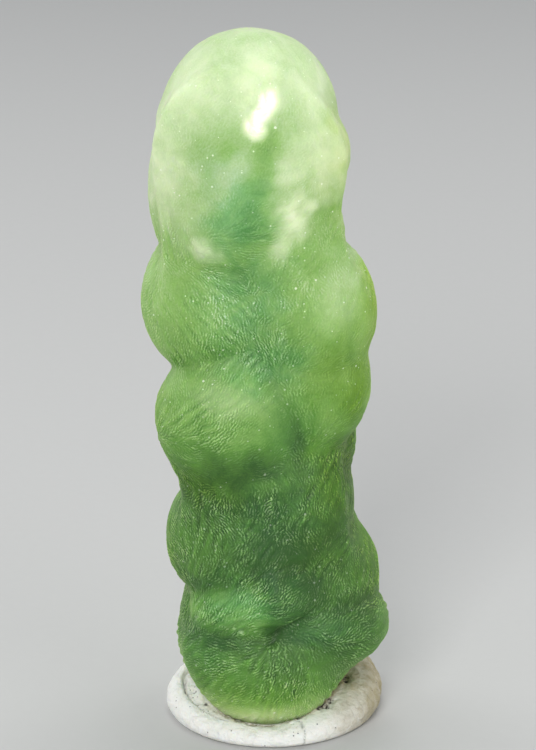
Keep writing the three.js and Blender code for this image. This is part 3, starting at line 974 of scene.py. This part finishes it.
# A soft key from above the camera, a top light a little behind, two low lights for the edges and a gentle
# fill: the place of each in metres, its width in metres and its power in watts.
LIGHTS = (
    ("key", (-0.13, -0.53, 0.37), 0.24, 2.5),
    ("top", (0.02, 0.12, 0.46), 0.30, 1.0),
    ("left_rim", (-0.40, 0.22, 0.16), 0.24, 0.7),
    ("right_rim", (0.40, 0.22, 0.16), 0.24, 0.5),
    ("fill", (0.42, -0.34, 0.14), 0.40, 0.9),
)


class StageSettings(bpy.types.PropertyGroup):
    """The floor, the lights and the camera."""

    floor: bpy.props.FloatVectorProperty(
        name="Floor", description="Colour of the floor", subtype="COLOR", default=(0.55, 0.55, 0.54))
    elevation: bpy.props.FloatProperty(
        name="Elevation", description="How far the camera looks down", subtype="ANGLE",
        default=math.radians(20))
    distance: bpy.props.FloatProperty(
        name="Distance", description="From the camera to the stone's axis", unit="LENGTH", default=400 * MM)
    aim: bpy.props.FloatProperty(
        name="Aim", description="Height that the camera looks at", unit="LENGTH", default=40 * MM)
    pixel: bpy.props.FloatProperty(
        name="Pixel", description="Size at the stone of one pixel of a frame 750 pixels high",
        unit="LENGTH", precision=5, default=0.11 * MM)


class PREHNITE_OT_build_stage(bpy.types.Operator):
    """Lays the pale floor, hangs the soft lights and sets up the camera"""

    bl_idname = "prehnite.build_stage"
    bl_label = "Build Stage"

    def execute(self, context):
        settings = context.scene.prehnite_stage
        lay_floor(settings)
        hang_lights()
        set_camera(settings)
        context.scene.view_settings.view_transform = "Standard"
        return {"FINISHED"}


def lay_floor(settings):
    reach = 1.5
    corners = [(-reach, -reach, 0), (reach, -reach, 0), (reach, reach, 0), (-reach, reach, 0)]
    mesh = bpy.data.meshes.new("floor")
    mesh.from_pydata(corners, [], [(0, 1, 2, 3)])
    floor = bpy.data.objects.new("floor", mesh)
    bpy.context.scene.collection.objects.link(floor)
    make = Materials("floor")
    place = make.millimetres()
    grain = make.node("ShaderNodeTexNoise", {"Vector": place, "Scale": 0.8, "Detail": 3.0}).outputs["Fac"]
    shade = [channel * 0.97 for channel in settings.floor]
    colour = make.mix(grain, rgba(settings.floor), rgba(shade))
    shader = make.node("ShaderNodeBsdfPrincipled", {"Base Color": colour, "Roughness": 0.6})
    mesh.materials.append(make.finish(shader))


def hang_lights():
    """The studio's soft lights, all turned to the middle of the stone, and its faint sky."""
    world = bpy.data.worlds.new("studio")
    world.use_nodes = True
    world.node_tree.nodes["Background"].inputs["Color"].default_value = (0.9, 0.95, 1.0, 1.0)
    world.node_tree.nodes["Background"].inputs["Strength"].default_value = 0.27
    bpy.context.scene.world = world
    aim = Vector((0, 0, 45 * MM))
    for name, place, size, power in LIGHTS:
        light = bpy.data.lights.new(name, "AREA")
        light.size = size
        light.energy = power
        lamp = bpy.data.objects.new(name, light)
        lamp.location = place
        lamp.rotation_euler = (aim - Vector(place)).to_track_quat("-Z", "Y").to_euler()
        bpy.context.scene.collection.objects.link(lamp)


def set_camera(settings):
    """Looks at the stone's axis as the photograph does, in a frame that is 750 pixels on its long side."""
    data = bpy.data.cameras.new("camera")
    data.sensor_width = 36
    data.lens = settings.distance / settings.pixel * data.sensor_width / 750
    data.clip_start = 0.01
    camera = bpy.data.objects.new("camera", data)
    aim = Vector((*(STONE_AXIS[:2] * MM), settings.aim))
    back = Vector((0, -math.cos(settings.elevation), math.sin(settings.elevation)))
    camera.location = aim + back * settings.distance
    camera.rotation_euler = (-back).to_track_quat("-Z", "Y").to_euler()
    bpy.context.scene.collection.objects.link(camera)
    bpy.context.scene.camera = camera


class PREHNITE_PT_panel(bpy.types.Panel):
    """Settings and buttons for the stone, the putty and the stage"""

    bl_idname = "PREHNITE_PT_panel"
    bl_label = "Botryoidal Prehnite"
    bl_space_type = "VIEW_3D"
    bl_region_type = "UI"
    bl_category = "Prehnite"

    def draw(self, context):
        for settings, operator in (
            (context.scene.prehnite_stone, PREHNITE_OT_build_stone),
            (context.scene.prehnite_putty, PREHNITE_OT_build_putty),
            (context.scene.prehnite_stage, PREHNITE_OT_build_stage),
        ):
            box = self.layout.box()
            for name in settings.__annotations__:
                box.prop(settings, name)
            box.operator(operator.bl_idname)


SETTINGS = {
    "prehnite_stone": PrehniteSettings,
    "prehnite_putty": PuttySettings,
    "prehnite_stage": StageSettings,
}
CLASSES = (
    *SETTINGS.values(),
    PREHNITE_OT_build_stone,
    PREHNITE_OT_build_putty,
    PREHNITE_OT_build_stage,
    PREHNITE_PT_panel,
)


def register():
    for cls in CLASSES:
        bpy.utils.register_class(cls)
    for name, group in SETTINGS.items():
        setattr(bpy.types.Scene, name, bpy.props.PointerProperty(type=group))


def unregister():
    for name in SETTINGS:
        delattr(bpy.types.Scene, name)
    for cls in reversed(CLASSES):
        bpy.utils.unregister_class(cls)


def main():
    register()
    bpy.ops.prehnite.build_stage()
    bpy.ops.prehnite.build_stone()
    bpy.ops.prehnite.build_putty()


if __name__ == "__main__":
    main()
